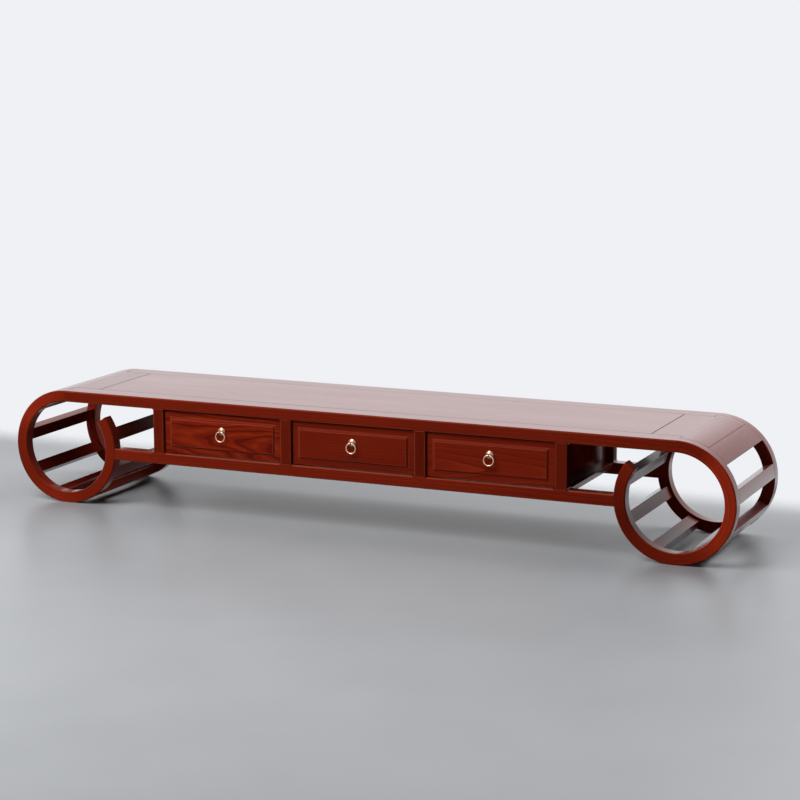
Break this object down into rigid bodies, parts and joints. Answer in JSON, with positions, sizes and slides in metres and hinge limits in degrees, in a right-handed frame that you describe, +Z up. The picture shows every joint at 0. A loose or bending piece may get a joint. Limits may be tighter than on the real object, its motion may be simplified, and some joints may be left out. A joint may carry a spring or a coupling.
{
  "type": "tv cabinet",
  "caption": "Low television cabinet of red-brown lacquered wood: a long top rolls down at each end into an open slatted scroll, with a row of ring-pull drawers under it.",
  "frame": {"origin": "on the floor, under the middle of the whole, pulls included", "axes": "+X along the cabinet to the right as seen from the front, +Y from the front to the back, +Z up"},
  "size_m": [2.2, 0.4304, 0.335],
  "materials": {
    "lacquered_wood": "red-brown stained ash, semi-gloss lacquer",
    "drawer_box_wood": "pale planed wood, waxed",
    "aged_brass": "cast brass, slightly tarnished"
  },
  "bodies": {
    "cabinet": {"back_panels": "lacquered_wood", "case_end_left": "lacquered_wood", "case_end_right": "lacquered_wood", "end_board_lower_left": "lacquered_wood", "end_board_lower_right": "lacquered_wood", "end_board_upper_left": "lacquered_wood", "end_board_upper_right": "lacquered_wood", "lower_rail_front": "lacquered_wood", "lower_rail_rear": "lacquered_wood", "partition_left": "lacquered_wood", "partition_right": "lacquered_wood", "post_front_inner_left": "lacquered_wood", "post_front_inner_right": "lacquered_wood", "post_front_outer_left": "lacquered_wood", "post_front_outer_right": "lacquered_wood", "post_rear_inner_left": "lacquered_wood", "post_rear_inner_right": "lacquered_wood", "post_rear_outer_left": "lacquered_wood", "post_rear_outer_right": "lacquered_wood", "runner_inner_left": "lacquered_wood", "runner_inner_right": "lacquered_wood", "runner_outer_left": "lacquered_wood", "runner_outer_right": "lacquered_wood", "scroll_front_left": "lacquered_wood", "scroll_front_right": "lacquered_wood", "scroll_rear_left": "lacquered_wood", "scroll_rear_right": "lacquered_wood", "slat_left_1": "lacquered_wood", "slat_left_2": "lacquered_wood", "slat_left_3": "lacquered_wood", "slat_left_4": "lacquered_wood", "slat_left_5": "lacquered_wood", "slat_left_6": "lacquered_wood", "slat_right_1": "lacquered_wood", "slat_right_2": "lacquered_wood", "slat_right_3": "lacquered_wood", "slat_right_4": "lacquered_wood", "slat_right_5": "lacquered_wood", "slat_right_6": "lacquered_wood", "top_panel": "lacquered_wood", "top_rail_front": "lacquered_wood", "top_rail_rear": "lacquered_wood"},
    "drawer_left": {"drawer_left_back": "drawer_box_wood", "drawer_left_bottom": "drawer_box_wood", "drawer_left_front": "lacquered_wood", "drawer_left_sides": "drawer_box_wood", "pull_left_base": "aged_brass"},
    "pull_left": {"pull_left_ring": "aged_brass"},
    "drawer_centre": {"drawer_centre_back": "drawer_box_wood", "drawer_centre_bottom": "drawer_box_wood", "drawer_centre_front": "lacquered_wood", "drawer_centre_sides": "drawer_box_wood", "pull_centre_base": "aged_brass"},
    "pull_centre": {"pull_centre_ring": "aged_brass"},
    "drawer_right": {"drawer_right_back": "drawer_box_wood", "drawer_right_bottom": "drawer_box_wood", "drawer_right_front": "lacquered_wood", "drawer_right_sides": "drawer_box_wood", "pull_right_base": "aged_brass"},
    "pull_right": {"pull_right_ring": "aged_brass"}
  },
  "joints": [
    {"name": "drawer_left_slide", "type": "slide", "parent": "cabinet", "child": "drawer_left", "axis": [0, -1, 0], "range_m": [0, 0.27]},
    {"name": "pull_left_swing", "type": "hinge", "parent": "drawer_left", "child": "pull_left", "pos_m": [-0.411, -0.2108, 0.25295], "axis": [-1, 0, 0], "range_deg": [-13, 110]},
    {"name": "drawer_centre_slide", "type": "slide", "parent": "cabinet", "child": "drawer_centre", "axis": [0, -1, 0], "range_m": [0, 0.27]},
    {"name": "pull_centre_swing", "type": "hinge", "parent": "drawer_centre", "child": "pull_centre", "pos_m": [0, -0.2108, 0.25295], "axis": [-1, 0, 0], "range_deg": [-13, 110]},
    {"name": "drawer_right_slide", "type": "slide", "parent": "cabinet", "child": "drawer_right", "axis": [0, -1, 0], "range_m": [0, 0.27]},
    {"name": "pull_right_swing", "type": "hinge", "parent": "drawer_right", "child": "pull_right", "pos_m": [0.411, -0.2108, 0.25295], "axis": [-1, 0, 0], "range_deg": [-13, 110]}
  ]
}
